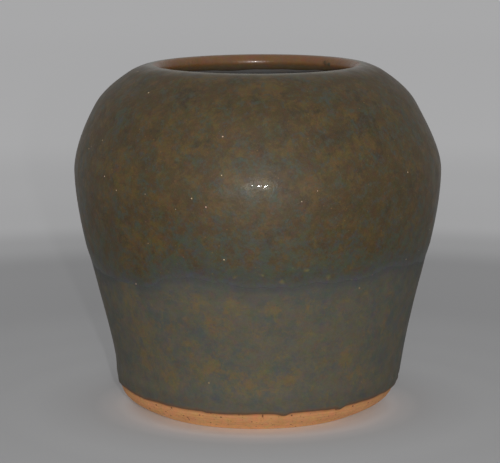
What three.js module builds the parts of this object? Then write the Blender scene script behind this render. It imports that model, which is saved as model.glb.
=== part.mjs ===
// A wheel-thrown stoneware vase: the fired clay body, and the three coats of glaze that lie on it.
// Millimetres, +Z up. The origin is on the table, on the axis that the vase was turned about.

import * as THREE from 'three';

// Driving dimensions in millimetres, and angles in degrees.
// A heading is the way the outline runs, turning outward from straight up.
// A reach is how far a curve keeps its heading before it bends.
// A drop is measured down from the crest of the lip.
const up = 0;
const down = 180;
const inward = -90;

// Outside of the clay
const footEdgeRadius = 37.2;
const footEdgeHeading = 66.2;
const footEdgeReach = 12.1;
const heelRadius = 49.4;
const heelHeight = 13.2;
const heelHeadingBelow = 15.9;
const heelReachBelow = 7.9;
const heelHeadingAbove = 3.7;
const heelReachAbove = 17;
const beltRadius = 62.85;
const beltHeight = 83.85;
const beltReachBelow = 20.9;
const beltReachAbove = 7.2;
const shoulderRadius = 55.1;
const shoulderDrop = 13.95;
const shoulderHeading = -28.2;
const shoulderReachBelow = 5.1;
const shoulderReachAbove = 5.5;
const collarRadius = 43.3;
const collarDrop = 2.35;
const collarHeadingBelow = -55.8;
const collarHeadingAbove = -60;
const collarReachBelow = 5.7;
const collarReachAbove = 2.6;

// Lip
const crestHeight = 119.4;
const crestRadius = 36;
const crestReach = 2.2;
const noseRadius = 33.9;
const noseDrop = 2.1;
const lipRounding = 0.6;

// Inside of the clay
const noseReachBelow = 3.4;
const shoulderWall = 5;
const innerShoulderReach = 9;
const innerShoulderReachBelow = 6;
const beltWall = 5.3;
const innerBeltDrop = 1.4;
const innerBeltReach = 7;
const innerBeltReachBelow = 24;
const heelWall = 7.5;
const floorTop = 8;
const floorCornerRise = 9;
const floorCornerWidth = 9.4;
const cornerRounding = 0.6;
const innerHeelHeading = 187;
const innerWallReach = 16;

// Turned foot, on the underside
const footRingWidth = 7.2;
const footRecessDepth = 2.2;
const footRecessSlope = 1.6;
const footCentreRise = 0.5;

// Glaze coats
const baseCoat = 0.5;
const baseCoatAtLip = 0.3;
const secondCoat = 0.45;
const secondCoatAtLip = 0.3;
const linerCoat = 0.5;
const linerCoatAtLip = 0.3;
const lipThinningDepth = 11;
const secondCoatInside = 4.5;

// Lower edges of the coats on the outside: the mean height, how far the edge wanders up and down,
// the height in which it thickens from nothing, and the share of the coat's thickness that it has there
const glazeLine = { height: 8.7, wave: 0.55, roll: 0.4, share: 0.7 };
const dipLine = { height: 55.4, wave: 0.6, roll: 0.9, share: 0.6 };
const bandMargin = 0.1;

// The waves that an edge wanders in: the share of each, how many go round the vase,
// and where each starts, in radians
const glazeLineWaves = [
  { share: 0.5, count: 5, start: 0.7 },
  { share: 0.3, count: 9, start: 0 },
  { share: 0.2, count: 16, start: 2 },
];
const dipLineWaves = [
  { share: 0.6, count: 2, start: 1.1 },
  { share: 0.4, count: 5, start: 0.4 },
];

// Facets round the axis, and steps along each curve
const facets = 48;
const steps = {
  bevel: 4, wall: 6, belly: 4, shoulder: 3, collar: 3, nose: 2,
  lipUnderside: 4, innerShoulder: 3, innerWall: 4, floorCorner: 3,
};

// Finishes
const barePottery = { color: '#a5714a', roughness: 0.85 };
const slateGlaze = { color: '#57523f', roughness: 0.4 };
const oliveGlaze = { color: '#564a34', roughness: 0.32 };
const darkGlaze = { color: '#39332e', roughness: 0.35 };

const point = (radius, height) => new THREE.Vector2(radius, height);

// The point that lies a distance along a heading
function ahead(start, heading, distance) {
  const angle = THREE.MathUtils.degToRad(heading);
  return point(start.x + distance * Math.sin(angle), start.y + distance * Math.cos(angle));
}

// Points of the curve that leaves one place on a heading and arrives at the next on another.
// The first point is left out, because the stretch before ends there.
function stretch(start, startHeading, startReach, end, endHeading, endReach, count) {
  const leaving = ahead(start, startHeading, startReach);
  const arriving = ahead(end, endHeading, -endReach);
  return new THREE.CubicBezierCurve(start, leaving, arriving, end).getPoints(count).slice(1);
}

// The outside of the clay, from the edge of the foot up to the crest of the lip
const footEdge = point(footEdgeRadius, 0);
const heel = point(heelRadius, heelHeight);
const belt = point(beltRadius, beltHeight);
const shoulder = point(shoulderRadius, crestHeight - shoulderDrop);
const collar = point(collarRadius, crestHeight - collarDrop);
const crest = point(crestRadius, crestHeight);

function outsideOutline() {
  return [
    footEdge,
    ...stretch(footEdge, footEdgeHeading, footEdgeReach, heel, heelHeadingBelow, heelReachBelow, steps.bevel),
    ...stretch(heel, heelHeadingAbove, heelReachAbove, belt, up, beltReachBelow, steps.wall),
    ...stretch(belt, up, beltReachAbove, shoulder, shoulderHeading, shoulderReachBelow, steps.belly),
    ...stretch(shoulder, shoulderHeading, shoulderReachAbove, collar, collarHeadingBelow, collarReachBelow,
      steps.shoulder),
    ...stretch(collar, collarHeadingAbove, collarReachAbove, crest, inward, crestReach, steps.collar),
  ];
}

// The inside of the clay, from the crest of the lip down to the middle of the floor
function insideOutline() {
  const nose = point(noseRadius, crestHeight - noseDrop);
  const innerShoulder = ahead(shoulder, shoulderHeading + inward, shoulderWall);
  const innerBelt = point(beltRadius - beltWall, beltHeight - innerBeltDrop);
  const innerHeel = point(heelRadius - heelWall, floorTop + floorCornerRise);
  const floorEdge = point(innerHeel.x - floorCornerWidth, floorTop);
  const outwardAndDown = shoulderHeading + down;
  return [
    ...stretch(crest, inward, (crestRadius - noseRadius) * lipRounding, nose, down, noseDrop * lipRounding,
      steps.nose),
    ...stretch(nose, down, noseReachBelow, innerShoulder, outwardAndDown, innerShoulderReach,
      steps.lipUnderside),
    ...stretch(innerShoulder, outwardAndDown, innerShoulderReachBelow, innerBelt, down, innerBeltReach,
      steps.innerShoulder),
    ...stretch(innerBelt, down, innerBeltReachBelow, innerHeel, innerHeelHeading, innerWallReach,
      steps.innerWall),
    ...stretch(innerHeel, innerHeelHeading, floorCornerRise * cornerRounding, floorEdge, inward,
      floorCornerWidth * cornerRounding, steps.floorCorner),
    point(0, floorTop),
  ];
}

// The underside, from its middle out to the foot ring. It ends where the outside begins.
function underside() {
  const ringInnerRadius = footEdgeRadius - footRingWidth;
  return [
    point(0, footRecessDepth + footCentreRise),
    point(ringInnerRadius - footRecessSlope, footRecessDepth),
    point(ringInnerRadius, 0),
  ];
}

// The place on a rising outline at a height
function placeAt(outline, height) {
  const next = outline.findIndex((place) => place.y > height);
  const low = outline[next - 1];
  const high = outline[next];
  return low.clone().lerp(high, (height - low.y) / (high.y - low.y));
}

// The heights between which an edge wanders
function bandOf(line) {
  return {
    low: line.height - line.wave - bandMargin,
    high: line.height + line.wave + line.roll + bandMargin,
  };
}

// Makes the outline straight between two heights, so that an edge can wander there without leaving it
function withStraightBand(outline, band) {
  return [
    ...outline.filter((place) => place.y < band.low),
    placeAt(outline, band.low),
    placeAt(outline, band.high),
    ...outline.filter((place) => place.y > band.high),
  ];
}

// The way out of the surface at each place of a line
function outwardAt(line, index) {
  const before = line[Math.max(index - 1, 0)];
  const after = line[Math.min(index + 1, line.length - 1)];
  const along = after.clone().sub(before).normalize();
  return line[index].x === 0 ? point(0, 1) : point(along.y, -along.x);
}

// The line that lies a thickness outside another
function raised(line, thicknessAt) {
  return line.map((place, index) => (
    place.clone().addScaledVector(outwardAt(line, index), thicknessAt(place))
  ));
}

// A coat is thinner at the lip, where melted glaze runs off the edge
function thinnedAtLip(thickness, thicknessAtLip) {
  return (place) => {
    const share = THREE.MathUtils.clamp((crestHeight - place.y) / lipThinningDepth, 0, 1);
    return THREE.MathUtils.lerp(thicknessAtLip, thickness, share);
  };
}

// How far a wandering edge lies above its mean height, from -1 to 1, at an angle round the vase
function wander(waves, angle) {
  return waves.reduce((sum, { share, count, start }) => sum + share * Math.sin(count * angle + start), 0);
}

// Turns a closed outline about the axis. An edge ring, by its number in the outline, wanders along its slope.
function turned(outline, edges = []) {
  const closed = outline[0].x === 0 ? outline : [...outline, outline[0]];
  const geometry = new THREE.LatheGeometry(closed, facets);
  const position = geometry.attributes.position;
  for (const { ring, slope, line, waves } of edges) {
    for (let turn = 0; turn <= facets; turn += 1) {
      const angle = (turn % facets) * 2 * Math.PI / facets;
      const place = outline[ring].clone().addScaledVector(slope, line.wave * wander(waves, angle));
      for (const copy of ring === 0 ? [0, closed.length - 1] : [ring]) {
        const corner = turn * closed.length + copy;
        position.setXYZ(corner, place.x * Math.sin(angle), place.y, place.x * Math.cos(angle));
      }
    }
  }
  return geometry.rotateX(Math.PI / 2);
}

// A coat between the skin it lies on and its own outer face, from its wandering lower edge to its last
// ring. The skin is straight in the edge's band, which starts at a ring of the skin.
function coat(skin, top, bandRing, lastRing, lastTopRing, line, waves, thickness) {
  const low = skin[bandRing];
  const high = skin[bandRing + 1];
  const along = high.clone().sub(low).normalize();
  const slope = along.clone().divideScalar(along.y);
  const edge = low.clone().addScaledVector(slope, line.wave + bandMargin);
  const rolled = edge.clone()
    .addScaledVector(slope, line.roll)
    .addScaledVector(point(along.y, -along.x), line.share * thickness);
  const outline = [
    edge,
    rolled,
    ...top.slice(bandRing + 1, lastTopRing + 1),
    ...skin.slice(bandRing + 1, lastRing + 1).toReversed(),
  ];
  return turned(outline, [{ ring: 0, slope, line, waves }, { ring: 1, slope, line, waves }]);
}

function mesh(name, geometry, finish) {
  const made = new THREE.Mesh(geometry, new THREE.MeshStandardMaterial({ ...finish, metalness: 0 }));
  made.name = name;
  return made;
}

const rising = outsideOutline();
const outside = withStraightBand(withStraightBand(rising, bandOf(glazeLine)), bandOf(dipLine));
const inside = insideOutline();
const claySkin = [...outside, ...inside];
const crestRing = outside.length - 1;
const ringBelow = (line) => outside.findLastIndex((place) => place.y < line.height);

// The clay body
const clayBody = mesh('clay_body', turned([...underside(), ...claySkin]), barePottery);

// The first coat, from the glaze line over the heel up to the crest
const baseTop = raised(claySkin, thinnedAtLip(baseCoat, baseCoatAtLip));
const baseGlaze = mesh('base_glaze',
  coat(claySkin, baseTop, ringBelow(glazeLine), crestRing, crestRing, glazeLine, glazeLineWaves, baseCoat),
  slateGlaze);

// The liner, poured inside, from the crest down to the middle of the floor
const linerTop = raised(claySkin, thinnedAtLip(linerCoat, linerCoatAtLip));
const linerOutline = [...linerTop.slice(crestRing).toReversed(), ...claySkin.slice(crestRing)];
const linerGlaze = mesh('liner_glaze', turned(linerOutline.toReversed()), darkGlaze);

// The second coat, dipped upside down over the first one: from the dip line over the lip and a little
// way inside
const coatedSkin = [...baseTop.slice(0, crestRing + 1), ...linerTop.slice(crestRing + 1)];
const secondTop = raised(coatedSkin, thinnedAtLip(secondCoat, secondCoatAtLip));
const insideEdgeRing = crestRing + 1 + inside.findIndex((place) => place.y < crestHeight - secondCoatInside);
const shoulderGlaze = mesh('shoulder_glaze',
  coat(coatedSkin, secondTop, ringBelow(dipLine), insideEdgeRing, insideEdgeRing - 1, dipLine, dipLineWaves,
    secondCoat),
  oliveGlaze);

const vase = new THREE.Group();
vase.add(clayBody, baseGlaze, linerGlaze, shoulderGlaze);

export default vase;
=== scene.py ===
import math
from bisect import bisect

import bpy
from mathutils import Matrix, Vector, noise
from mathutils.geometry import interpolate_bezier
from mathutils.kdtree import KDTree


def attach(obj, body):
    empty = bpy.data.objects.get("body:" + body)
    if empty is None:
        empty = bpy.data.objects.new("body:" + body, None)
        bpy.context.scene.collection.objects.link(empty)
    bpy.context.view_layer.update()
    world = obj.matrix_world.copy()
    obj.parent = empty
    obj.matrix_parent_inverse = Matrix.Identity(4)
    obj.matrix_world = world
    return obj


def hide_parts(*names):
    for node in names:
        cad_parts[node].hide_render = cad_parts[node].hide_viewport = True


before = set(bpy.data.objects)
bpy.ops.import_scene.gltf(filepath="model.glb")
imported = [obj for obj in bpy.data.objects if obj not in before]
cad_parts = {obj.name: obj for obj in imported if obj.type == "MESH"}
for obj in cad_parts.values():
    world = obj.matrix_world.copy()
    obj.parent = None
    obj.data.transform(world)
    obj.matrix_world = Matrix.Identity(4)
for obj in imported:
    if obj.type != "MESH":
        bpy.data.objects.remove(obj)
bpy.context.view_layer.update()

print("frame loaded", sorted(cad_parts))

mm = 0.001    # profiles are in millimetres, the scene in metres
slices, sliceSteps = 12, 30    # the section is spun through one slice, and the slice copied round

bpy.context.scene.view_settings.view_transform = "Standard"


# where the photograph was taken from
cameraSpot = {"place": (0, -0.7801, 0.1928), "tilt": 80.431, "turn": 0.196, "lens": 163.21}
bpy.ops.object.camera_add(location=cameraSpot["place"],
                          rotation=(math.radians(cameraSpot["tilt"]), 0, math.radians(cameraSpot["turn"])))
camera = bpy.context.object
camera.data.lens = cameraSpot["lens"]
camera.data.clip_start = 0.01
bpy.context.scene.camera = camera


# the pot's wall as one line: up the outside from the foot, over the lip, down the inside to the floor
# each curve: radius, height, heading, reach at its start, then the same at its end
# a heading is in degrees from straight up, turning outward
wall = {
    "foot": (37.2, 0, 66.2, 12.1, 49.4, 13.2, 15.9, 7.9),
    "side": (49.4, 13.2, 3.7, 17, 62.85, 83.85, 0, 20.9),
    "belly": (62.85, 83.85, 0, 7.2, 55.1, 105.45, -28.2, 5.1),
    "shoulder": (55.1, 105.45, -28.2, 5.5, 43.3, 117.05, -55.8, 5.7),
    "collar": (43.3, 117.05, -60, 2.6, 36, 119.4, -90, 2.2),
    "lip": (36, 119.4, -90, 1.26, 33.9, 117.3, 180, 1.26),
    "underLip": (33.9, 117.3, 180, 3.4, 50.69, 103.09, 151.8, 9),
    "insideShoulder": (50.69, 103.09, 151.8, 6, 57.55, 82.45, 180, 7),
    "insideWall": (57.55, 82.45, 180, 24, 41.9, 17, 187, 16),
    "corner": (41.9, 17, 187, 5.4, 32.5, 8, 270, 5.64),
    "floor": (32.5, 8, 270, 8, 0, 8, 270, 8),
}
spacing = 0.2    # millimetres between the points of the line


def wallPoints():
    points = []
    for r1, z1, heading, reach, r2, z2, arriving, endReach in wall.values():
        a, b = math.radians(heading), math.radians(arriving)
        handle1 = Vector((r1 + reach * math.sin(a), 0, z1 + reach * math.cos(a)))
        handle2 = Vector((r2 - endReach * math.sin(b), 0, z2 - endReach * math.cos(b)))
        run = interpolate_bezier(Vector((r1, 0, z1)), handle1, handle2, Vector((r2, 0, z2)), 240)
        points += run if not points else run[1:]
    length = [0]
    for a, b in zip(points, points[1:]):
        length.append(length[-1] + (b - a).length)
    even = []
    for i in range(int(length[-1] / spacing) + 1):
        k = min(bisect(length, i * spacing), len(points) - 1)
        share = (i * spacing - length[k - 1]) / (length[k] - length[k - 1])
        even.append(points[k - 1].lerp(points[k], share))
    even[-1] = points[-1]
    for turn in range(5):    # a wet sponge takes the hard corners off
        even = [even[0]] + [(a + 2 * b + c) / 4 for a, b, c in zip(even, even[1:], even[2:])] + [even[-1]]
    return even


line = wallPoints()
crestNumber = max(range(len(line)), key=lambda i: line[i].z)
crest = crestNumber * spacing
lineEnd = (len(line) - 1) * spacing


def wallAt(s, lift=0):
    # radius and height at a distance along the line, raised off it by lift
    i = min(max(int(s / spacing), 0), len(line) - 2)
    place = line[i].lerp(line[i + 1], s / spacing - i)
    a, b = line[max(i - 1, 0)], line[min(i + 2, len(line) - 1)]
    along = (b - a).normalized()
    if place.x < 1:
        along = Vector((-1, 0, 0))
    return place.x + along.z * lift, place.z - along.x * lift


def sAtHeight(height):
    # distance along the outside at a height
    i = next(i for i in range(crestNumber) if line[i].z >= height)
    a, b = line[i - 1], line[i]
    return (i - 1 + (height - a.z) / (b.z - a.z)) * spacing


def blendKeys(keys, at):
    # smooth value between the entries of a dictionary
    places = sorted(keys)
    if at <= places[0]:
        return keys[places[0]]
    if at >= places[-1]:
        return keys[places[-1]]
    k = bisect(places, at)
    a, b = places[k - 1], places[k]
    t = (at - a) / (b - a)
    t = t * t * (3 - 2 * t)
    return keys[a] * (1 - t) + keys[b] * t


def ease(value, low, high):
    t = min(max((value - low) / (high - low), 0), 1)
    return t * t * (3 - 2 * t)


def rough(x, y, z, size, seed=0):
    return noise.noise(Vector((x / size + seed, y / size, z / size)))


# how the whole pot leans and sags, the same for the clay and its coats
pot = {
    "drift": {0: -0.54, 6: -0.25, 10: 0.1, 18: 0.43, 45: 0.1, 84: 0, 105: -0.65, 117: -0.5, 120: -0.45},
    "narrower": 0.0034,
    "oval": 0.0012,
    "threeSided": 0.0006,
    "rimTilt": 0.13,    # the far side of the rim is lower at the left
}


def settle(x, y, z):
    angle = math.atan2(x, -y)
    size = 1 - pot["narrower"] * ease(z, 0, 40)
    size += pot["oval"] * math.cos(2 * angle + 0.6) + pot["threeSided"] * math.cos(3 * angle + 2)
    drop = -pot["rimTilt"] * x / 36 * (1 + y / 36) * ease(z, 60, 118)
    return x * size + blendKeys(pot["drift"], z), y * size, z - drop


def throwPiece(name, profile):
    # draws half the section point by point, then spins it round the axis
    r, z = profile[0]
    bpy.ops.object.select_all(action="DESELECT")
    bpy.ops.mesh.primitive_plane_add(size=mm, location=(r * mm, 0, z * mm))
    piece = bpy.context.object
    piece.name = piece.data.name = name
    bpy.ops.object.transform_apply(location=True, rotation=True, scale=True)
    bpy.ops.object.mode_set(mode="EDIT")
    bpy.ops.mesh.select_mode(type="VERT")
    bpy.ops.mesh.select_all(action="SELECT")
    bpy.ops.mesh.merge(type="CENTER")
    for (r1, z1), (r2, z2) in zip(profile, profile[1:]):
        step = ((r2 - r1) * mm, 0, (z2 - z1) * mm)
        bpy.ops.mesh.extrude_region_move(TRANSFORM_OT_translate={"value": step})
    bpy.ops.mesh.select_all(action="SELECT")
    bpy.ops.mesh.spin(steps=sliceSteps, angle=2 * math.pi / slices, center=(0, 0, 0), axis=(0, 0, 1))
    bpy.ops.mesh.select_all(action="SELECT")
    bpy.ops.mesh.spin(steps=slices - 1, dupli=True, angle=2 * math.pi * (slices - 1) / slices,
                      center=(0, 0, 0), axis=(0, 0, 1))
    bpy.ops.mesh.select_all(action="SELECT")
    bpy.ops.mesh.remove_doubles(threshold=0.002 * mm)
    bpy.ops.mesh.normals_make_consistent(inside=False)
    bpy.ops.object.mode_set(mode="OBJECT")
    bpy.ops.object.shade_smooth()
    print("spun", name, len(piece.data.vertices), "points")
    return piece


def finishPiece(piece, profile, shape, names):
    # shape gives each point its last place and its values, from its number in the profile and its angle
    tree = KDTree(len(profile))
    for i, (r, z) in enumerate(profile):
        tree.insert((r, 0, z), i)
    tree.balance()
    places, values = [], {name: [] for name in names}
    for vertex in piece.data.vertices:
        x, y, z = vertex.co / mm
        radius, angle = math.hypot(x, y), math.atan2(x, -y)
        number = tree.find((radius, 0, z))[1]
        r, z, found = shape(number, angle)
        x, y, z = settle(r * math.sin(angle), -r * math.cos(angle), z)
        places += (x * mm, y * mm, z * mm)
        for name, value in zip(names, found):
            values[name].append(value)
    piece.data.vertices.foreach_set("co", places)
    for name in names:
        layer = piece.data.attributes.new(name, "FLOAT", "POINT")
        layer.data.foreach_set("value", values[name])
    piece.data.update()


def steps(start, end, size):
    count = max(1, round(abs(end - start) / size))
    return [start + (end - start) * i / count for i in range(count + 1)]


# the coats' thicknesses and edges
coats = {
    "base": 0.5, "baseAtLip": 0.3,
    "second": 0.45, "secondAtLip": 0.3,
    "liner": 0.5, "linerAtLip": 0.3,
    "thinning": 11,
}


def thickness(coat, s):
    share = min(max((line[crestNumber].z - wallAt(s)[1]) / coats["thinning"], 0), 1)
    return coats[coat + "AtLip"] * (1 - share) + coats[coat] * share


# the lower edge of the first coat, above the bare foot
glazeLine = {
    "height": 8.6,
    "dip": 0.8,                                    # lower in front and behind than at the sides
    "waves": ((0.1, 5, 0.7), (0.1, 9, 0.2), (0.09, 17, 2.1), (0.06, 31, 0.9), (0.04, 53, 2.6)),
    "drips": ((10.8, 0.75, 2.1), (34.9, 0.8, 1.7), (-20.5, 0.3, 1.5), (121, 0.9, 2.4), (-142, 0.7, 2)),
    "roll": 0.55,                                  # the fat rounded edge
    "fall": 7,
}
# the lower edge of the second coat, round the middle of the pot: azimuth and height
dipLine = {
    "heights": {-180: 55.8, -150: 54.7, -110: 53.1, -75: 51.8, -52: 50.4, -40: 50, -31: 54.1, -22: 55.5,
                -13: 54, 0: 52.5, 8: 52.8, 21: 53.5, 35: 53.4, 47: 56, 62: 54.8, 80: 53.6, 115: 52.6,
                150: 54.2, 180: 55.8},
    "waves": ((0.16, 23, 0.4), (0.14, 37, 1.7), (0.1, 61, 0.3)),
    "middle": 53,
    "roll": 6.5,
    "fall": 18,
}


def waviness(waves, angle):
    return sum(size * math.sin(count * angle + start) for size, count, start in waves)


def glazeEdge(angle):
    height = glazeLine["height"] - glazeLine["dip"] * math.cos(2 * angle)
    height += waviness(glazeLine["waves"], angle)
    for azimuth, depth, width in glazeLine["drips"]:
        away = (math.degrees(angle) - azimuth) / width
        height -= depth * math.exp(-away * away)
    return height


def dipEdge(angle):
    return blendKeys(dipLine["heights"], math.degrees(angle)) + waviness(dipLine["waves"], angle)


def slopeAt(height):
    # how far along the wall one millimetre of height takes there
    return (sAtHeight(height + 1) - sAtHeight(height - 1)) / 2


glazeStart, glazeSlope = sAtHeight(glazeLine["height"]), slopeAt(glazeLine["height"])
dipStart, dipSlope = sAtHeight(dipLine["middle"]), slopeAt(dipLine["middle"])


def glazeShift(angle):
    return (glazeEdge(angle) - glazeLine["height"]) * glazeSlope


def dipShift(angle):
    return (dipEdge(angle) - dipLine["middle"]) * dipSlope


# clay body
clay = {
    "recess": ((0, 2.7), (14, 2.45), (27.7, 2.2), (29, 1.6), (29.8, 0.35), (30.3, 0)),
    "ringEdge": 0.5,          # rounding of the foot's outer edge
    "toolMarks": 0.05,        # depth of the rings left by the trimming tool
    "toolSpacing": 1.3,
    "grit": 0.05,
}


def makeClay():
    under = []
    for (r1, z1), (r2, z2) in zip(clay["recess"], clay["recess"][1:]):
        for t in steps(0, 1, min(1, 0.8 / math.hypot(r2 - r1, z2 - z1)))[:-1]:
            under.append((r1 + (r2 - r1) * t, z1 + (z2 - z1) * t))
    footInner, footOuter, edge = clay["recess"][-1][0], wall["foot"][0], clay["ringEdge"]
    for r in steps(footInner, footOuter - edge, 1):
        under.append((r, 0))
    start = 0.6
    for t in (0.3, 0.65):                          # rolls the flat ring over into the bevel
        r, z = wallAt(start)
        under.append((footOuter - edge + (r - footOuter + edge) * (t + 0.08), z * t * t))
    outside = steps(start, glazeStart + 3, 0.3) + steps(glazeStart + 6, crest - 4, 3)
    rest = steps(crest - 3, crest + 4, 0.7) + steps(crest + 6, lineEnd, 3)
    along = outside + rest
    profile = under + [wallAt(s) for s in along]
    piece = throwPiece("clayBody", profile)

    def shape(number, angle):
        if number < len(under):
            r, z = under[number]
            marks = 0.04 * math.sin(r * 2.4 + 0.4 * math.sin(angle)) if 2 < r < 26 else 0
            return r, z + marks, (glazeStart, 0)
        s = along[number - len(under)]
        x, y = math.sin(angle) * 40, math.cos(angle) * 40
        share = ease(s, 0.4, 2) * ease(s, glazeStart + 3, glazeStart + 1)
        marks = math.sin(s * 2 * math.pi / clay["toolSpacing"] + 0.5 * math.sin(angle + 1))
        marks *= clay["toolMarks"] * (0.6 + 0.8 * rough(x, y, s * 3, 12))
        marks += clay["grit"] * rough(x, y, s, 1.1, 5)
        r, z = wallAt(s, share * marks)
        return r, z, (glazeStart + glazeShift(angle) - s, share)

    finishPiece(piece, profile, shape, ("belowGlaze", "outside"))
    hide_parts("clay_body")
    return piece


# first coat
def makeBaseCoat():
    roll = glazeLine["roll"]
    outer = [(glazeStart + roll * t, math.sqrt(1 - (1 - t) ** 2)) for t in (0.05, 0.18, 0.38, 0.65, 1)]
    outer += [(s, 1) for s in steps(glazeStart + 2 * roll, dipStart + 8, 0.9)]
    outer += [(s, 1) for s in steps(dipStart + 11, crest, 3)]
    inner = [(s, 0) for s in steps(crest, glazeStart + 1, 2.4) + [glazeStart]]
    section = outer + inner
    profile = [wallAt(s, share * thickness("base", s)) for s, share in section]
    piece = throwPiece("baseCoat", profile + [profile[0]])

    def shape(number, angle):
        s, share = section[number % len(section)]
        edge = glazeStart + glazeShift(angle)
        moved = s + glazeShift(angle) * ease(s, glazeStart + glazeLine["fall"], glazeStart)
        dipAt = dipStart + dipShift(angle)
        lift = share * thickness("base", moved)
        if share:
            x, y = math.sin(angle) * 55, math.cos(angle) * 55
            free = ease(moved, dipAt - 1, dipAt - 6)
            bead = 0.22 * math.exp(-((moved - edge - 0.7) / 0.9) ** 2) * (1 + rough(x, y, 0, 7, 3))
            for azimuth, depth, width in glazeLine["drips"]:     # a drop hangs fat at its tip
                away = (math.degrees(angle) - azimuth) / width / 1.2
                bead += 0.3 * depth * math.exp(-away * away - ((moved - edge - 1) / 1.3) ** 2)
            uneven = 0.05 * rough(x, y, moved, 13, 1) + 0.018 * rough(x, y, moved, 4, 2)
            lift += share * (bead + free * uneven)
        r, z = wallAt(moved, lift)
        return r, z, (moved - edge, dipAt - moved)

    finishPiece(piece, profile, shape, ("aboveEdge", "belowDip"))
    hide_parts("base_glaze")
    return piece


# second coat, over the shoulder and the lip
second = {"inside": 6.5, "insideWave": ((0.35, 4, 1), (0.25, 9, 2.2), (0.15, 17, 0.5))}


def makeShoulderCoat():
    roll = dipLine["roll"]
    insideEnd = crest + second["inside"]

    def under(s):
        return thickness("base", s) if s <= crest else thickness("liner", s)

    outer = [(dipStart + roll * t, 0.05 * min(t * 6, 1) + 0.95 * ease(t, 0, 1))
             for t in (0.01, 0.04, 0.09, 0.16, 0.25, 0.36, 0.48, 0.6, 0.73, 0.87, 1)]
    outer += [(s, 1) for s in steps(dipStart + roll + 0.8, crest - 6, 0.85)]
    outer += [(s, 1) for s in steps(crest - 5.4, insideEnd - 1, 0.5)]
    outer += [(insideEnd - 0.6, 0.86), (insideEnd - 0.25, 0.5)]
    back = [insideEnd] + steps(insideEnd - 1, crest - 1, 0.7) + steps(crest - 4, dipStart + 1, 2.4)
    inner = [(s, 0) for s in back + [dipStart]]
    section = outer + inner
    profile = [wallAt(s, under(s) + share * thickness("second", s)) for s, share in section]
    piece = throwPiece("shoulderCoat", profile + [profile[0]])

    def shape(number, angle):
        s, share = section[number % len(section)]
        dipAt = dipStart + dipShift(angle)
        moved = s + dipShift(angle) * ease(s, dipStart + dipLine["fall"], dipStart)
        moved += waviness(second["insideWave"], angle) * ease(s, crest + 3.5, insideEnd)
        lift = under(moved) + share * thickness("second", moved)
        if share:
            x, y = math.sin(angle) * 60, math.cos(angle) * 60
            free = ease(moved, dipAt, dipAt + 5) * ease(moved, crest + 1, crest - 8)
            lift += share * free * (0.055 * rough(x, y, moved, 13, 4) + 0.02 * rough(x, y, moved, 4, 6))
        r, z = wallAt(moved, lift)
        return r, z, (moved - dipAt, crest - moved)

    finishPiece(piece, profile, shape, ("aboveDip", "fromLip"))
    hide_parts("shoulder_glaze")
    return piece


# liner
liner = {"rings": 0.13, "ringSpacing": 7.5}


def makeLiner():
    outer = [(s, 1) for s in steps(crest, crest + 10, 0.8) + steps(crest + 11.2, lineEnd - 0.3, 1.3)]
    inner = [(s, 0) for s in steps(lineEnd - 0.3, crest, 3)]
    section = outer + inner
    middle = [(0, line[-1].z + coats["liner"]), (0, line[-1].z)]
    flat = [wallAt(s, share * thickness("liner", s)) for s, share in section]
    profile = flat[:len(outer)] + middle + flat[len(outer):]
    piece = throwPiece("linerCoat", profile + [profile[0]])

    def shape(number, angle):
        number %= len(profile)
        if len(outer) <= number < len(outer) + 2:
            r, z = profile[number]
            return r, z, (lineEnd - crest,)
        s, share = section[number if number < len(outer) else number - 2]
        lift = share * thickness("liner", s)
        if share:                                  # finger rings climb the wall in one spiral
            deep = ease(s, crest + 7, crest + 18) * ease(s, lineEnd - 4, lineEnd - 16)
            x, y = math.sin(angle) * 50, math.cos(angle) * 50
            ring = math.sin((s - crest) * 2 * math.pi / liner["ringSpacing"] + angle)
            lift += deep * liner["rings"] * ring * (0.8 + 0.5 * rough(x, y, s, 20))
            lift += deep * 0.05 * rough(x, y, s, 9, 2)
        r, z = wallAt(s, lift)
        return r, z, (s - crest,)

    finishPiece(piece, profile, shape, ("intoPot",))
    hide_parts("liner_glaze")
    return piece


clayBody = makeClay()
baseCoat = makeBaseCoat()
shoulderCoat = makeShoulderCoat()
linerCoat = makeLiner()
for piece in (clayBody, baseCoat, shoulderCoat, linerCoat):
    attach(piece, "root")
print("pieces made")


# node helpers
def paint(red, green, blue):
    # a colour as a paint program gives it, 0 to 255
    shares = [c / 255 for c in (red, green, blue)]
    return [s / 12.92 if s < 0.04 else ((s + 0.055) / 1.055) ** 2.4 for s in shares] + [1]


def paints(colours):
    return {name: paint(*colour) for name, colour in colours.items()}


def addNode(tree, kind, sockets=None, **settings):
    node = tree.nodes.new("ShaderNode" + kind)
    for key, value in settings.items():
        setattr(node, key, value)
    for key, value in (sockets or {}).items():
        if isinstance(value, bpy.types.NodeSocket):
            tree.links.new(value, node.inputs[key])
        else:
            node.inputs[key].default_value = value
    return node


def newMaterial(name):
    material = bpy.data.materials.new(name)
    material.use_nodes = True
    tree = material.node_tree
    tree.nodes.clear()
    place = addNode(tree, "TexCoord").outputs["Object"]
    return material, tree, addNode(tree, "Mapping", {"Vector": place, "Scale": (1 / mm,) * 3}).outputs[0]


def cloud(tree, where, size, detail=3, roughness=0.55, shift=0, tall=1):
    # noise whose marks are about size millimetres across
    moved = addNode(tree, "Mapping", {"Vector": where, "Location": (shift, shift * 0.7, shift * 1.3),
                                      "Scale": (1 / size, 1 / size, 1 / size / tall)})
    found = addNode(tree, "TexNoise", {"Vector": moved.outputs[0], "Scale": 1, "Detail": detail,
                                       "Roughness": roughness})
    return found.outputs[0]


def spread(tree, value, low, high, bottom=0, top=1):
    node = addNode(tree, "MapRange", {"Value": value, "From Min": low, "From Max": high, "To Min": bottom,
                                      "To Max": top}, interpolation_type="SMOOTHSTEP")
    return node.outputs[0]


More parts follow.
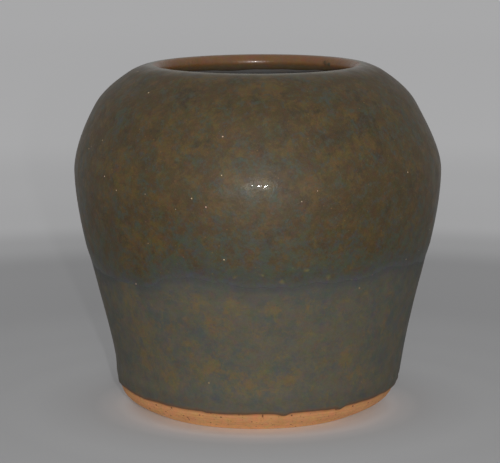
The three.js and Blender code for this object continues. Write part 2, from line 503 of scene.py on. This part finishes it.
def maths(tree, operation, a, b=0):
    return addNode(tree, "Math", {0: a, 1: b}, operation=operation).outputs[0]


def tint(tree, share, under, over, strength=1):
    if strength != 1:
        share = maths(tree, "MULTIPLY", share, strength)
    return addNode(tree, "Mix", {0: share, 6: under, 7: over}, data_type="RGBA").outputs[2]


def outside(tree, zones, strength):
    # one outside the zones, falling by strength in them
    return maths(tree, "SUBTRACT", 1, maths(tree, "MULTIPLY", zones, strength))


def stored(tree, name):
    # a value that the piece's points carry
    return addNode(tree, "Attribute", attribute_name=name, attribute_type="GEOMETRY").outputs["Fac"]


def warped(tree, where, size, strength):
    # places pushed about, so that what is drawn at them gets torn edges
    moved = addNode(tree, "Mapping", {"Vector": where, "Scale": (1 / size,) * 3})
    stir = addNode(tree, "TexNoise", {"Vector": moved.outputs[0], "Scale": 1, "Detail": 2})
    centred = addNode(tree, "VectorMath", {0: stir.outputs["Color"], 1: (0.5,) * 3}, operation="SUBTRACT")
    scaled = addNode(tree, "VectorMath", {0: centred.outputs[0], "Scale": strength}, operation="SCALE")
    return addNode(tree, "VectorMath", {0: where, 1: scaled.outputs[0]}, operation="ADD").outputs[0]


def patches(tree, where, places, blur=0.95):
    # soft patches on the wall: azimuth, height, radius and how much taller than wide
    total = None
    for azimuth, height, radius, tall in places:
        r, z = wallAt(sAtHeight(height), 0.9)
        a = math.radians(azimuth)
        away = addNode(tree, "VectorMath", {0: where, 1: (r * math.sin(a), -r * math.cos(a), z)},
                       operation="SUBTRACT")
        away = addNode(tree, "VectorMath", {0: away.outputs[0], 1: (1, 1, 1 / tall)}, operation="MULTIPLY")
        away = addNode(tree, "VectorMath", {0: away.outputs[0]}, operation="LENGTH")
        share = spread(tree, away.outputs["Value"], radius, radius * (1 - blur))
        total = share if total is None else maths(tree, "MAXIMUM", total, share)
    return total


def specks(tree, where, cell, radius, rare, shift=0):
    # small round dots, one in some of the cells
    moved = addNode(tree, "Mapping", {"Vector": where, "Location": (shift,) * 3, "Scale": (1 / cell,) * 3})
    cells = addNode(tree, "TexVoronoi", {"Vector": moved.outputs[0], "Scale": 1, "Randomness": 1})
    dot = spread(tree, cells.outputs["Distance"], radius / cell, radius / cell * 0.5)
    colour = addNode(tree, "SeparateColor", {0: cells.outputs["Color"]})
    chosen = maths(tree, "GREATER_THAN", colour.outputs[0], rare)
    return maths(tree, "MULTIPLY", dot, chosen)


def times(tree, *shares):
    total = shares[0]
    for share in shares[1:]:
        total = maths(tree, "MULTIPLY", total, share)
    return total


def mottle(tree, where, size, shift, under, over, low, high, strength=1, zones=None, push=0):
    # cloudy mixing of two colours, as fine as it is coarse, more of the second in the zones
    share = cloud(tree, where, size, 6, 0.82, shift)
    if zones is not None:
        share = maths(tree, "ADD", share, maths(tree, "MULTIPLY", zones, push))
    share = spread(tree, share, low, high, 0, strength)
    return tint(tree, share, under, over)


def grained(tree, where, colour, depths, size=3.5):
    # red, green and blue each lighter and darker by itself, in specks as fine as the melt
    moved = addNode(tree, "Mapping", {"Vector": where, "Location": (33, 23, 43), "Scale": (1 / size,) * 3})
    grain = addNode(tree, "TexNoise", {"Vector": moved.outputs[0], "Scale": 1, "Detail": 5,
                                       "Roughness": 0.95}).outputs["Color"]
    rest = [1 - depth / 2 for depth in depths]    # keeps the mean as it was
    amount = addNode(tree, "VectorMath", {0: grain, 1: depths, 2: rest}, operation="MULTIPLY_ADD")
    return addNode(tree, "VectorMath", {0: colour, 1: amount.outputs[0]}, operation="MULTIPLY").outputs[0]


def glazeShader(tree, colour, roughness, height, gloss):
    bump = addNode(tree, "Bump", {"Height": height, "Strength": gloss["bump"],
                                  "Distance": gloss["bumpHeight"] * mm})
    shader = addNode(tree, "BsdfPrincipled", {
        "Base Color": colour, "Roughness": roughness, "Normal": bump.outputs[0],
        "Specular IOR Level": gloss["specular"], "Coat Weight": gloss["coat"],
        "Coat Roughness": gloss["coatRoughness"], "Coat IOR": 1.5, "Coat Normal": bump.outputs[0]})
    tree.links.new(shader.outputs[0], addNode(tree, "OutputMaterial").inputs[0])


# bare clay
clayLook = {
    "colours": {"tan": (226, 166, 112), "pale": (246, 190, 132), "toastedAndShaded": (190, 134, 88),
                "speckAndPitShade": (88, 54, 36), "brown": (176, 124, 82), "darkUnderGlaze": (118, 76, 48)},
    "grain": (0.8, 0.85, 0.95),
    "roughness": 0.88, "specular": 0.25, "gritHeight": 0.12,
}


def clayMaterial():
    material, tree, where = newMaterial("firedClay")
    look = paints(clayLook["colours"])
    below = stored(tree, "belowGlaze")
    colour = mottle(tree, where, 5, 0, look["tan"], look["pale"], 0.48, 0.66, 0.4)
    colour = mottle(tree, where, 6, 8, colour, look["toastedAndShaded"], 0.5, 0.68, 0.35)
    colour = mottle(tree, where, 1.6, 3, colour, look["brown"], 0.48, 0.64, 0.4)
    # darker near the glaze and paler towards the ground: painted shade and painted light that even out the
    # light across the foot's bevel
    colour = tint(tree, spread(tree, below, 8, 0), colour, look["toastedAndShaded"], 0.95)
    colour = tint(tree, spread(tree, below, 5, 13), colour, look["pale"], 0.8)
    # dark dots, partly dark specks in the clay and partly painted shade in open pits
    colour = tint(tree, specks(tree, where, 1.9, 0.42, 0.58), colour, look["speckAndPitShade"], 0.95)
    colour = tint(tree, specks(tree, where, 1.2, 0.3, 0.6, 5), colour, look["speckAndPitShade"], 0.5)
    # a dark line right under the glaze's edge
    colour = tint(tree, spread(tree, below, 1.1, -0.1), colour, look["darkUnderGlaze"], 0.85)
    colour = grained(tree, where, colour, clayLook["grain"])
    grit = cloud(tree, where, 0.45, 4, 0.75, 9)
    bump = addNode(tree, "Bump", {"Height": grit, "Strength": 0.9, "Distance": clayLook["gritHeight"] * mm})
    shader = addNode(tree, "BsdfPrincipled", {
        "Base Color": colour, "Roughness": clayLook["roughness"], "Normal": bump.outputs[0],
        "Specular IOR Level": clayLook["specular"]})
    tree.links.new(shader.outputs[0], addNode(tree, "OutputMaterial").inputs[0])
    return material


# first glaze, slate with ochre breaking through
slateLook = {
    "colours": {"slate": (84, 79, 66), "blue": (70, 73, 69), "ochre": (100, 84, 54), "brown": (88, 70, 52),
                "rust": (116, 74, 48), "teal": (67, 74, 63), "violet": (65, 66, 64), "line": (96, 70, 50),
                "speck": (150, 124, 90)},
    "ochreZones": ((-49, 50, 8, 1.6), (-49, 43, 8, 1.4), (-49, 35, 8, 1.4), (-46, 25, 10, 1),
                   (-35, 21, 12, 0.8), (-25, 29, 8, 0.9), (-14, 39, 8, 0.9), (-20, 46, 7, 0.7),
                   (-10, 46, 7, 0.8), (6, 45, 6, 0.7), (-5, 19, 12, 0.6), (-18, 23, 11, 0.7),
                   (10, 19, 11, 0.6), (35, 26, 8, 0.8), (41, 20, 9, 0.6), (105, 38, 15, 1),
                   (150, 22, 16, 0.8), (-160, 40, 14, 1.2), (-110, 30, 13, 1)),
    "blueZones": ((-64, 47, 9, 1.8), (-65, 35, 9, 1.5), (-61, 22, 9, 1.2), (-36, 38, 8, 0.8),
                  (-22, 37, 6, 0.8), (41, 44, 12, 0.8), (56, 35, 13, 1.2), (58, 48, 13, 0.8),
                  (52, 24, 10, 1), (17, 49, 9, 0.6), (80, 30, 18, 1.3), (-130, 36, 16, 1),
                  (175, 30, 18, 1)),
    "grain": (0.9, 0.9, 1.3),
    "gloss": {"bump": 1, "bumpHeight": 0.05, "specular": 0.21, "coat": 0.02, "coatRoughness": 0.12},
}


def slateMaterial():
    material, tree, where = newMaterial("slateGlaze")
    look = paints(slateLook["colours"])
    stirred = warped(tree, where, 5, 4)
    above, below = stored(tree, "aboveEdge"), stored(tree, "belowDip")
    ochreZones = patches(tree, stirred, slateLook["ochreZones"])
    blueZones = patches(tree, stirred, slateLook["blueZones"])
    colour = mottle(tree, where, 7, 1, look["slate"], look["blue"], 0.45, 0.64, 0.85, blueZones, 0.08)
    colour = mottle(tree, where, 4, 17, colour, look["teal"], 0.5, 0.66, 0.5)
    colour = mottle(tree, stirred, 5, 2, colour, look["ochre"], 0.5, 0.68, 0.7, ochreZones, 0.12)
    colour = mottle(tree, where, 3, 7, colour, look["brown"], 0.53, 0.66, 0.45)
    rust = times(tree, spread(tree, cloud(tree, stirred, 2.4, 3, 0.7, 12), 0.62, 0.8), ochreZones)
    colour = tint(tree, rust, colour, look["rust"], 0.7)
    # cooler under the second dip, and in places along the lower edge, which is thin and brown
    band = maths(tree, "ADD", spread(tree, below, 9, 1), spread(tree, below, 3, 0.5))
    band = times(tree, band, outside(tree, ochreZones, 0.8))
    colour = tint(tree, band, colour, look["violet"], 0.45)
    rimParts = spread(tree, cloud(tree, where, 7, 2, 0.5, 21), 0.3, 0.6)
    colour = tint(tree, times(tree, spread(tree, above, 4, 1.6), rimParts), colour, look["violet"], 0.4)
    colour = tint(tree, spread(tree, above, 1.8, 0.2), colour, look["line"], 0.9)
    colour = tint(tree, specks(tree, where, 7, 0.42, 0.62, 4), colour, look["speck"], 0.6)
    colour = grained(tree, where, colour, slateLook["grain"])
    roughness = spread(tree, cloud(tree, where, 5, 3, 0.6, 40), 0.3, 0.7, 0.54, 0.68)
    glazeShader(tree, colour, roughness, cloud(tree, where, 1, 2, 0.4, 50), slateLook["gloss"])
    return material


# second glaze, olive brown going to slate towards its edge
oliveLook = {
    "colours": {"olive": (65, 51, 25), "ochre": (82, 63, 28), "dark": (48, 41, 26), "rust": (82, 56, 36),
                "slate": (62, 63, 50), "teal": (57, 61, 51), "violet": (66, 67, 65), "fleck": (104, 92, 50),
                "lipRust": (114, 78, 48), "lipDark": (92, 75, 55), "pale": (112, 108, 92),
                "speck": (196, 168, 136), "dot": (112, 84, 46)},
    "ochreZones": ((-56, 91, 9, 1), (-44, 92, 8, 1.2), (-43, 86, 8, 1), (-50, 82, 9, 1),
                   (-34, 68, 8, 1), (-43, 64, 9, 1.2), (-42, 56, 8, 1), (-19, 106, 9, 1.2),
                   (-20, 100, 9, 1.2), (-27, 97, 9, 1), (-6, 115, 9, 1), (4, 116, 9, 1),
                   (-4, 97, 6, 0.7), (10, 98, 8, 0.6), (23, 94, 10, 0.6), (34, 96, 8, 1),
                   (17, 88, 5, 1.6), (-8, 88, 8, 1), (-14, 79, 9, 1), (55, 89, 6, 1), (120, 90, 16, 1),
                   (-140, 80, 18, 1), (175, 100, 14, 1), (-110, 68, 13, 1.2), (150, 66, 14, 0.9)),
    "darkZones": ((-28, 112, 7, 1), (-32, 106, 6, 1.2), (-35, 100, 6, 1.3), (-36, 93, 5, 1.4),
                  (26, 102, 10, 0.8), (23, 107, 9, 0.8), (51, 81, 10, 1), (0, 118, 5, 1),
                  (44, 111, 9, 1), (40, 102, 11, 0.9), (90, 88, 14, 1), (-170, 88, 15, 1),
                  (-100, 98, 14, 1)),
    "tealZones": ((-4, 99, 6, 0.7), (9, 95, 6, 0.6), (-53, 104, 8, 0.9), (-69, 84, 10, 1.6),
                  (-74, 73, 12, 1.2), (-64, 64, 10, 1), (47, 69, 10, 1), (37, 61, 10, 0.9),
                  (-22, 69, 7, 0.9), (-18, 63, 8, 0.8), (2, 60, 8, 0.8), (-9, 64, 6, 0.8),
                  (20, 65, 7, 0.8), (30, 65, 7, 0.9), (62, 101, 10, 1), (51, 100, 8, 1),
                  (-29, 60, 7, 0.8), (100, 70, 16, 0.9), (-125, 104, 14, 0.9)),
    "rustZones": ((-12, 69, 2.5, 1.2), (-2, 65, 3, 0.8), (4, 77, 3, 1), (13, 80, 4, 1), (-16, 78, 4, 1),
                  (-2, 76, 3, 1), (10, 70, 4, 0.8)),
    "flecks": ((22.7, 55.1, 1.7, 0.8), (15, 57.9, 1.3, 0.9), (8, 54.9, 1.4, 0.9), (-12, 68.7, 1.2, 1.2),
               (-7, 56, 1.2, 0.8), (1, 56.5, 1, 1)),
    "grain": (1.0, 1.3, 2.2),
    "gloss": {"bump": 1, "bumpHeight": 0.065, "specular": 0.38, "coat": 0.1, "coatRoughness": 0.035},
}


def oliveMaterial():
    material, tree, where = newMaterial("oliveGlaze")
    look = paints(oliveLook["colours"])
    stirred = warped(tree, where, 6, 5)
    above, fromLip = stored(tree, "aboveDip"), stored(tree, "fromLip")
    ochreZones = patches(tree, stirred, oliveLook["ochreZones"])
    darkZones = patches(tree, stirred, oliveLook["darkZones"])
    tealZones = patches(tree, stirred, oliveLook["tealZones"])
    rustZones = patches(tree, stirred, oliveLook["rustZones"])
    colour = mottle(tree, stirred, 6, 0, look["olive"], look["ochre"], 0.46, 0.64, 0.85, ochreZones, 0.08)
    colour = mottle(tree, stirred, 7, 5, colour, look["dark"], 0.51, 0.67, 0.8, darkZones, 0.08)
    colour = mottle(tree, where, 2.6, 9, colour, look["rust"], 0.54, 0.67, 0.45, rustZones, 0.12)
    # slate and teal take over towards the dip line, except where the ochre runs down
    wave = maths(tree, "MULTIPLY", maths(tree, "SUBTRACT", cloud(tree, stirred, 12, 6, 0.8, 19), 0.5), 30)
    low = spread(tree, maths(tree, "ADD", above, wave), 28, -2)
    low = times(tree, low, outside(tree, ochreZones, 0.75))
    low = maths(tree, "MAXIMUM", low, maths(tree, "MULTIPLY", tealZones, 0.6))
    colour = mottle(tree, where, 4, 14, colour, look["slate"], 0.5, 0.64, 0.8, low, 0.08)
    colour = mottle(tree, stirred, 5, 23, colour, look["teal"], 0.53, 0.65, 0.85, low, 0.1)
    waved = maths(tree, "ADD", above, maths(tree, "MULTIPLY", wave, 0.15))
    edge = maths(tree, "ADD", spread(tree, waved, 7, 1), spread(tree, above, 2.4, 0))
    edge = times(tree, edge, outside(tree, ochreZones, 1))
    colour = tint(tree, edge, colour, look["violet"], 0.45)
    colour = tint(tree, patches(tree, stirred, oliveLook["flecks"], 1), colour, look["fleck"], 0.6)
    # thin and rusty where it breaks over the lip, with a few dark runs, and dark further in
    gaps = spread(tree, cloud(tree, where, 4.5, 3, 0.6, 25), 0.24, 0.36)
    rusty = times(tree, spread(tree, fromLip, 0.5, -0.6), spread(tree, fromLip, -4.4, -3.2), gaps)
    runs = spread(tree, cloud(tree, where, 0.7, 2, 0.5, 31, 12), 0.64, 0.7)
    colour = tint(tree, spread(tree, fromLip, -3, -4.6), colour, look["lipDark"])
    colour = tint(tree, rusty, colour, look["lipRust"], 0.85)
    colour = tint(tree, times(tree, runs, spread(tree, fromLip, 0.8, 0)), colour, look["lipDark"], 0.6)
    # paler along the crest: partly the glaze breaking thin there, partly a painted reflection of the bright
    # surroundings
    crestLine = times(tree, spread(tree, fromLip, -0.8, 0.4), spread(tree, fromLip, 3, 0.8))
    colour = tint(tree, crestLine, colour, look["pale"], 0.4)
    colour = tint(tree, specks(tree, where, 2.4, 0.3, 0.7, 7), colour, look["dot"], 0.5)
    # pale pinhead dots: painted glints of light
    colour = tint(tree, specks(tree, where, 5, 0.3, 0.62), colour, look["speck"], 0.85)
    colour = grained(tree, where, colour, oliveLook["grain"])
    roughness = spread(tree, cloud(tree, where, 5, 3, 0.6, 40), 0.3, 0.7, 0.52, 0.64)
    # the lip melted smooth
    smoother = times(tree, spread(tree, fromLip, 9, 1), spread(tree, fromLip, -6, -3.5))
    roughness = maths(tree, "SUBTRACT", roughness, maths(tree, "MULTIPLY", smoother, 0.26))
    glazeShader(tree, colour, roughness, cloud(tree, where, 1, 2, 0.4, 50), oliveLook["gloss"])
    return material


# liner
linerLook = {
    "colours": {"dark": (138, 132, 128), "brown": (148, 132, 120), "grey": (136, 139, 140),
                "speck": (170, 158, 142)},
    "gloss": {"bump": 0.4, "bumpHeight": 0.05, "specular": 0.5, "coat": 0.12, "coatRoughness": 0.15},
}


def linerMaterial():
    material, tree, where = newMaterial("linerGlaze")
    look = paints(linerLook["colours"])
    stirred = warped(tree, where, 7, 5)
    colour = mottle(tree, stirred, 10, 0, look["dark"], look["grey"], 0.4, 0.66)
    colour = mottle(tree, stirred, 6, 4, colour, look["brown"], 0.5, 0.75)
    colour = tint(tree, specks(tree, where, 6, 0.35, 0.6), colour, look["speck"])
    roughness = spread(tree, cloud(tree, where, 6, 3), 0.3, 0.7, 0.3, 0.46)
    glazeShader(tree, colour, roughness, cloud(tree, where, 0.9, 3, 0.6, 50), linerLook["gloss"])
    return material


for piece, material in ((clayBody, clayMaterial()), (baseCoat, slateMaterial()),
                        (shoulderCoat, oliveMaterial()), (linerCoat, linerMaterial())):
    piece.data.materials.clear()
    piece.data.materials.append(material)
print("glazes mixed")


# floor and light
studio = {
    "floorSize": 12,
    # the floor's grey at distances from the pot's axis in millimetres: lighter close round the foot, a
    # painted pool of light that lifts the shadow where the pot stands; the greys then dip and rise again
    # far off, painted light and shade standing in for a table and a lit wall behind it
    "floorGreys": {0: 238, 39: 236, 46: 192, 56: 171, 78: 168, 100: 161, 130: 156, 185: 150, 280: 152,
                   340: 170, 400: 187, 550: 191, 750: 199, 1000: 199, 1350: 199, 1850: 201},
    "overhead": 0.85, "horizon": 0.3, "backdrop": 0.376,
    # the bounce is light off the table in front
    "lamps": {"key": {"place": (0.038, -0.82, 0.2), "aim": 0.06, "size": 0.24, "power": 1.1},
              "flash": {"place": (0.038, -0.79, 0.193), "aim": 0.06, "size": 0.014, "power": 2.5},
              "bounce": {"place": (-0.06, -0.5, 0.02), "aim": 0.03, "size": 0.3, "power": 0.36}},
}

bpy.ops.object.select_all(action="DESELECT")
bpy.ops.mesh.primitive_plane_add(size=studio["floorSize"], location=(0, 0, 0))
floor = bpy.context.object
floor.name = "floor"
floorMaterial, tree, where = newMaterial("paleFloor")
fromPot = addNode(tree, "VectorMath", {0: where}, operation="LENGTH").outputs["Value"]
farthest = max(studio["floorGreys"])
tones = addNode(tree, "ValToRGB", {"Fac": maths(tree, "DIVIDE", fromPot, farthest)})
tones.color_ramp.interpolation = "EASE"
for distance, grey in studio["floorGreys"].items():
    if distance in (0, farthest):    # a new ramp has these two stops already
        stop = tones.color_ramp.elements[-1 if distance else 0]
    else:
        stop = tones.color_ramp.elements.new(distance / farthest)
    stop.color = paint(grey, grey, grey + 1)
floorShader = addNode(tree, "BsdfPrincipled", {"Base Color": tones.outputs[0], "Roughness": 0.7,
                                               "Specular IOR Level": 0})
tree.links.new(floorShader.outputs[0], addNode(tree, "OutputMaterial").inputs[0])
floor.data.materials.append(floorMaterial)

for name, lamp in studio["lamps"].items():
    aim = Vector((0, 0, lamp["aim"])) - Vector(lamp["place"])
    bpy.ops.object.light_add(type="AREA", location=lamp["place"],
                             rotation=aim.to_track_quat("-Z", "Y").to_euler())
    light = bpy.context.object
    light.name = name
    light.data.shape = "DISK"
    light.data.size = lamp["size"]
    light.data.energy = lamp["power"]

world = bpy.data.worlds.new("studioWorld")
bpy.context.scene.world = world
world.use_nodes = True
tree = world.node_tree
tree.nodes.clear()
upward = addNode(tree, "SeparateXYZ", {0: addNode(tree, "TexCoord").outputs["Generated"]}).outputs["Z"]
glow = addNode(tree, "MapRange", {"Value": upward, "From Min": 0, "From Max": 1,
                                  "To Min": studio["horizon"], "To Max": studio["overhead"]}).outputs[0]
sky = addNode(tree, "Background", {"Color": (1, 1, 1, 1), "Strength": glow})
seen = addNode(tree, "Background", {"Color": (1, 1, 1, 1), "Strength": studio["backdrop"]})
rays = addNode(tree, "LightPath").outputs
looking = maths(tree, "MAXIMUM", rays["Is Glossy Ray"], rays["Is Transmission Ray"])
looking = maths(tree, "MAXIMUM", rays["Is Camera Ray"], looking)
both = addNode(tree, "MixShader", {0: looking, 1: sky.outputs[0], 2: seen.outputs[0]})
tree.links.new(both.outputs[0], addNode(tree, "OutputWorld").inputs[0])
print("lit")
